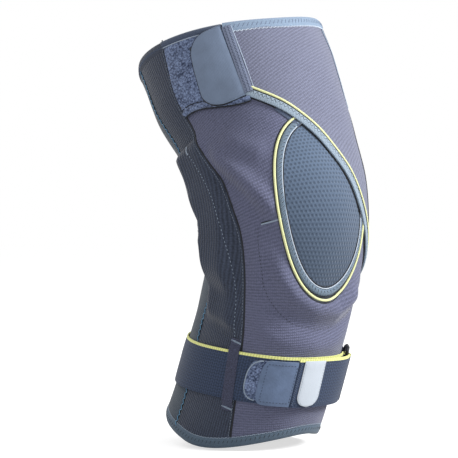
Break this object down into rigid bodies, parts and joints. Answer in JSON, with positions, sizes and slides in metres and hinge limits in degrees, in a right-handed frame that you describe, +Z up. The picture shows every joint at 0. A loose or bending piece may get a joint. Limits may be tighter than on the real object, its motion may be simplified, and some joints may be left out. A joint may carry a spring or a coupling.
{
  "type": "knee brace",
  "caption": "Wrap-around hinged knee brace with kneecap opening, side splints in pockets and a calf strap that turns through a ring.",
  "frame": {"origin": "centre of the wearer's knee, on the leg's axis", "axes": "+X to the inner (medial) side of a right leg, +Y backwards, +Z up; the brace runs along Z, bent as worn"},
  "size_m": [0.1444, 0.1924, 0.326],
  "materials": {
    "mauve_knit": "fine ribbed stretch knit, matt",
    "charcoal_knit": "ribbed stretch knit with light flecks, matt",
    "teal_knit": "smooth stretch knit, soft sheen",
    "slate_tape": "folded elastic binding tape with zigzag stitching",
    "slate_tab": "smooth laminated fabric, satin",
    "loop_pile": "brushed loop pile, mottled",
    "hook_pile": "moulded hook field",
    "kneecap_knit": "dimpled mesh knit",
    "yellow_piping": "pale yellow piping",
    "navy_webbing": "woven elastic webbing",
    "dark_tape": "woven tape",
    "tag_cloth": "blank woven tag",
    "silicone": "soft silicone",
    "ring_plastic": "moulded, satin",
    "splint_metal": "satin rolled aluminium"
  },
  "bodies": {
    "thigh": {"lateral_front_panel_thigh": "mauve_knit", "front_wrap_thigh": "mauve_knit", "wrap_top_binding": "slate_tape", "wrap_seam_strip": "slate_tape", "thigh_loop_patch": "loop_pile", "lateral_side_panel_thigh": "charcoal_knit", "medial_side_panel_thigh": "charcoal_knit", "back_panel_thigh": "teal_knit", "top_binding": "slate_tape", "lateral_upper_arm": "splint_metal", "medial_upper_arm": "splint_metal", "lateral_pocket_cover_thigh": "charcoal_knit", "medial_pocket_cover_thigh": "charcoal_knit"},
    "wrap_tab": {"wrap_hook_tab": "slate_tab", "wrap_tab_hook_field": "hook_pile"},
    "hinge": {"front_panel_knee": "mauve_knit", "patella_patch": "kneecap_knit", "patella_pad_ring": "silicone", "oval_binding": "slate_tape", "oval_piping": "yellow_piping", "front_wrap_knee": "mauve_knit", "wrap_edge_binding": "slate_tape", "wrap_edge_piping": "yellow_piping", "lateral_side_panel_knee": "charcoal_knit", "medial_side_panel_knee": "charcoal_knit", "popliteal_panel": "teal_knit", "lateral_pocket_cover_knee": "charcoal_knit", "medial_pocket_cover_knee": "charcoal_knit", "lateral_hinge_inner_plate": "splint_metal", "lateral_hinge_outer_plate": "splint_metal", "medial_hinge_inner_plate": "splint_metal", "medial_hinge_outer_plate": "splint_metal", "lateral_upper_rivet": "splint_metal", "lateral_lower_rivet": "splint_metal", "medial_upper_rivet": "splint_metal", "medial_lower_rivet": "splint_metal"},
    "calf": {"front_panel_calf": "mauve_knit", "lateral_side_panel_calf": "charcoal_knit", "medial_side_panel_calf": "charcoal_knit", "back_panel_calf": "teal_knit", "bottom_binding": "slate_tape", "lateral_lower_arm": "splint_metal", "medial_lower_arm": "splint_metal", "lateral_pocket_cover_calf": "charcoal_knit", "medial_pocket_cover_calf": "charcoal_knit", "calf_strap": "navy_webbing", "strap_loop_patch": "loop_pile", "lateral_belt_loop": "dark_tape", "medial_belt_loop": "dark_tape", "strap_ring": "ring_plastic", "ring_keeper_loop": "navy_webbing"},
    "strap_tail": {"strap_tail": "navy_webbing", "strap_tag": "tag_cloth"},
    "strap_tab": {"strap_hook_tab": "slate_tab", "strap_tab_hook_field": "hook_pile"}
  },
  "joints": [
    {"name": "upper_hinge", "type": "hinge", "parent": "thigh", "child": "hinge", "pos_m": [0, 0.01256, 0.00798], "axis": [1, 0, 0], "range_deg": [-24, 28], "deforming": ["front_panel_knee", "patella_patch", "patella_pad_ring", "oval_binding", "oval_piping", "front_wrap_knee", "wrap_edge_binding", "wrap_edge_piping", "lateral_side_panel_knee", "medial_side_panel_knee", "popliteal_panel", "lateral_pocket_cover_knee", "medial_pocket_cover_knee"]},
    {"name": "lower_hinge", "type": "hinge", "parent": "hinge", "child": "calf", "pos_m": [0, 0.01144, -0.00798], "axis": [1, 0, 0], "range_deg": [-24, 28]},
    {"name": "wrap_tab_peel", "type": "hinge", "parent": "thigh", "child": "wrap_tab", "pos_m": [-0.05548, 0.001, 0.12433], "axis": [-0.0584, 0.4282, 0.9018], "range_deg": [0, 80]},
    {"name": "strap_tail_open", "type": "hinge", "parent": "calf", "child": "strap_tail", "pos_m": [0.03902, -0.02244, -0.11349], "axis": [-0.0027, -0.3436, 0.9391], "range_deg": [0, 75]},
    {"name": "strap_tab_peel", "type": "hinge", "parent": "strap_tail", "child": "strap_tab", "pos_m": [-0.02252, -0.03197, -0.11493], "axis": [0.0085, -0.3251, 0.9456], "range_deg": [0, 75]}
  ],
  "couplings": [
    {"joint": "lower_hinge", "follows": "upper_hinge", "ratio": 1}
  ]
}
